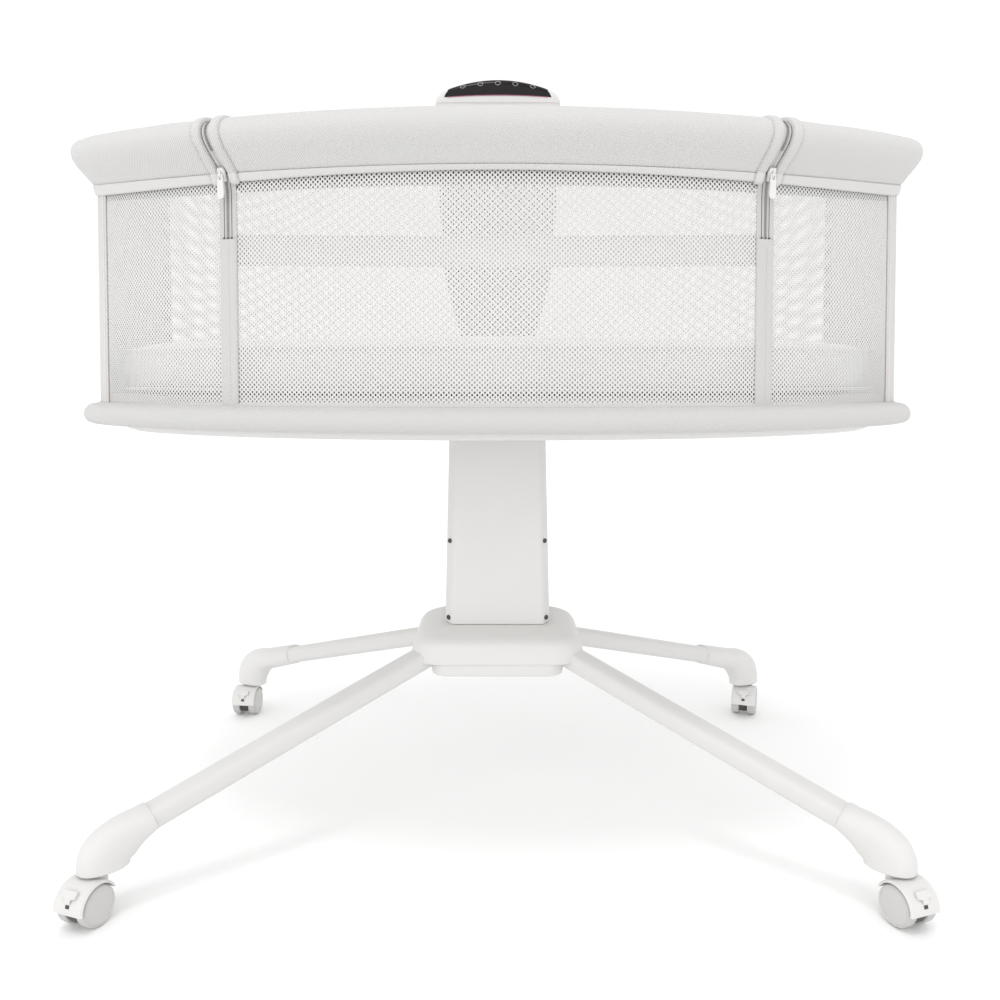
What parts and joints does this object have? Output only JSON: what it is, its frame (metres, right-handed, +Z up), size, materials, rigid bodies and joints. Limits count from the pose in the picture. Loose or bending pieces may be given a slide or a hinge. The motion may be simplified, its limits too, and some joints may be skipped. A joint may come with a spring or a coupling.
{
  "type": "bassinet on stand",
  "caption": "Oval mesh-sided bassinet that rocks on a post, with a zip-down front, a rear touch unit and a four-leg stand on twin-wheel casters.",
  "frame": {"origin": "on the floor, under the centre of the object's bounding box", "axes": "+X along the basket's length, -Y towards the zip-down front, +Y towards the control unit, +Z up"},
  "size_m": [0.9258, 0.6296, 0.9065],
  "materials": {
    "shell": "satin off-white moulded plastic",
    "dark_shell": "fine-textured dark plastic",
    "lens": "smoked glossy touch cover",
    "frame_tube": "satin powder-coated steel",
    "steel": "plain steel",
    "alloy": "plain aluminium tube",
    "tread": "light grey wheel plastic",
    "mesh": "open knitted mesh netting",
    "padding": "woven twill over foam",
    "board": "plain stiff board",
    "circuit": "circuit board"
  },
  "bodies": {
    "stand": {"hub_top_cover": "shell", "hub_bottom_cover": "shell", "post_front_cover": "shell", "post_rear_cover": "shell", "post_core": "steel", "drive_motor": "steel", "rocker_bearing_left": "steel", "rocker_bearing_right": "steel", "power_inlet": "dark_shell", "post_screw_lower_left": "steel", "post_screw_lower_right": "steel", "post_screw_upper_left": "steel", "post_screw_upper_right": "steel", "leg_tube_fl": "frame_tube", "leg_tube_fr": "frame_tube", "leg_tube_rl": "frame_tube", "leg_tube_rr": "frame_tube", "foot_fl": "shell", "foot_fr": "shell", "foot_rl": "shell", "foot_rr": "shell"},
    "basket": {"rocker_shaft": "steel", "rocker_saddle": "steel", "bottom_pan": "shell", "floor_board": "board", "base_tube": "alloy", "base_cover": "padding", "wall_left": "mesh", "wall_right": "mesh", "wall_rear": "mesh", "front_mesh_lower": "mesh", "rail_tube_main": "alloy", "rail_pad_main": "padding", "barrier_strap": "padding", "control_housing_front": "dark_shell", "control_housing_rear": "dark_shell", "touch_panel": "lens", "control_board": "circuit"},
    "mattress": {"mattress": "padding"},
    "front_flap": {"rail_tube_front": "alloy", "rail_pad_front": "padding", "front_mesh_upper": "mesh"},
    "zip_left": {"zip_slider_left": "steel"},
    "zip_right": {"zip_slider_right": "steel"},
    "caster_fl": {"caster_hood_fl": "shell"},
    "wheel_fl_a": {"wheel_fl_a": "tread"},
    "wheel_fl_b": {"wheel_fl_b": "tread"},
    "brake_fl": {"brake_lever_fl": "shell"},
    "caster_fr": {"caster_hood_fr": "shell"},
    "wheel_fr_a": {"wheel_fr_a": "tread"},
    "wheel_fr_b": {"wheel_fr_b": "tread"},
    "brake_fr": {"brake_lever_fr": "shell"},
    "caster_rl": {"caster_hood_rl": "shell"},
    "wheel_rl_a": {"wheel_rl_a": "tread"},
    "wheel_rl_b": {"wheel_rl_b": "tread"},
    "brake_rl": {"brake_lever_rl": "shell"},
    "caster_rr": {"caster_hood_rr": "shell"},
    "wheel_rr_a": {"wheel_rr_a": "tread"},
    "wheel_rr_b": {"wheel_rr_b": "tread"},
    "brake_rr": {"brake_lever_rr": "shell"}
  },
  "joints": [
    {"name": "basket_rock", "type": "hinge", "parent": "stand", "child": "basket", "pos_m": [0, 0, 0.4], "axis": [1, 0, 0], "range_deg": [-5, 5]},
    {"name": "front_flap_fold", "type": "hinge", "parent": "basket", "child": "front_flap", "pos_m": [0, -0.256, 0.6088], "axis": [1, 0, 0], "range_deg": [0, 140]},
    {"name": "zip_left_pull", "type": "slide", "parent": "basket", "child": "zip_left", "axis": [-0.0185, -0.0154, -0.9997], "range_m": [0, 0.045]},
    {"name": "zip_right_pull", "type": "slide", "parent": "basket", "child": "zip_right", "axis": [0.0185, -0.0154, -0.9997], "range_m": [0, 0.045]},
    {"name": "mattress_lift", "type": "slide", "parent": "basket", "child": "mattress", "axis": [0, 0, 1], "range_m": [0, 0.06]},
    {"name": "caster_swivel_fl", "type": "hinge", "parent": "stand", "child": "caster_fl", "pos_m": [-0.37, -0.2733, 0.03], "axis": [0, 0, 1], "continuous": true},
    {"name": "wheel_spin_fl_a", "type": "hinge", "parent": "caster_fl", "child": "wheel_fl_a", "pos_m": [-0.37517, -0.28631, 0.019], "axis": [0.9292, -0.3697, 0], "continuous": true},
    {"name": "wheel_spin_fl_b", "type": "hinge", "parent": "caster_fl", "child": "wheel_fl_b", "pos_m": [-0.37517, -0.28631, 0.019], "axis": [0.9292, -0.3697, 0], "continuous": true},
    {"name": "brake_pedal_fl", "type": "hinge", "parent": "caster_fl", "child": "brake_fl", "pos_m": [-0.3808, -0.30044, 0.03846], "axis": [-0.9292, 0.3697, 0], "range_deg": [0, 15]},
    {"name": "caster_swivel_fr", "type": "hinge", "parent": "stand", "child": "caster_fr", "pos_m": [0.37, -0.2733, 0.03], "axis": [0, 0, 1], "continuous": true},
    {"name": "wheel_spin_fr_a", "type": "hinge", "parent": "caster_fr", "child": "wheel_fr_a", "pos_m": [0.37517, -0.28631, 0.019], "axis": [0.9292, 0.3697, 0], "continuous": true},
    {"name": "wheel_spin_fr_b", "type": "hinge", "parent": "caster_fr", "child": "wheel_fr_b", "pos_m": [0.37517, -0.28631, 0.019], "axis": [0.9292, 0.3697, 0], "continuous": true},
    {"name": "brake_pedal_fr", "type": "hinge", "parent": "caster_fr", "child": "brake_fr", "pos_m": [0.3808, -0.30044, 0.03846], "axis": [-0.9292, -0.3697, 0], "range_deg": [0, 15]},
    {"name": "caster_swivel_rl", "type": "hinge", "parent": "stand", "child": "caster_rl", "pos_m": [-0.37, 0.2733, 0.03], "axis": [0, 0, 1], "continuous": true},
    {"name": "wheel_spin_rl_a", "type": "hinge", "parent": "caster_rl", "child": "wheel_rl_a", "pos_m": [-0.37112, 0.25934, 0.019], "axis": [0.9968, -0.08, 0], "continuous": true},
    {"name": "wheel_spin_rl_b", "type": "hinge", "parent": "caster_rl", "child": "wheel_rl_b", "pos_m": [-0.37112, 0.25934, 0.019], "axis": [0.9968, -0.08, 0], "continuous": true},
    {"name": "brake_pedal_rl", "type": "hinge", "parent": "caster_rl", "child": "brake_rl", "pos_m": [-0.37234, 0.24419, 0.03846], "axis": [-0.9968, 0.08, 0], "range_deg": [0, 15]},
    {"name": "caster_swivel_rr", "type": "hinge", "parent": "stand", "child": "caster_rr", "pos_m": [0.37, 0.2733, 0.03], "axis": [0, 0, 1], "continuous": true},
    {"name": "wheel_spin_rr_a", "type": "hinge", "parent": "caster_rr", "child": "wheel_rr_a", "pos_m": [0.36538, 0.26008, 0.019], "axis": [0.944, -0.33, 0], "continuous": true},
    {"name": "wheel_spin_rr_b", "type": "hinge", "parent": "caster_rr", "child": "wheel_rr_b", "pos_m": [0.36538, 0.26008, 0.019], "axis": [0.944, -0.33, 0], "continuous": true},
    {"name": "brake_pedal_rr", "type": "hinge", "parent": "caster_rr", "child": "brake_rr", "pos_m": [0.36036, 0.24573, 0.03846], "axis": [-0.944, 0.33, 0], "range_deg": [0, 15]}
  ]
}
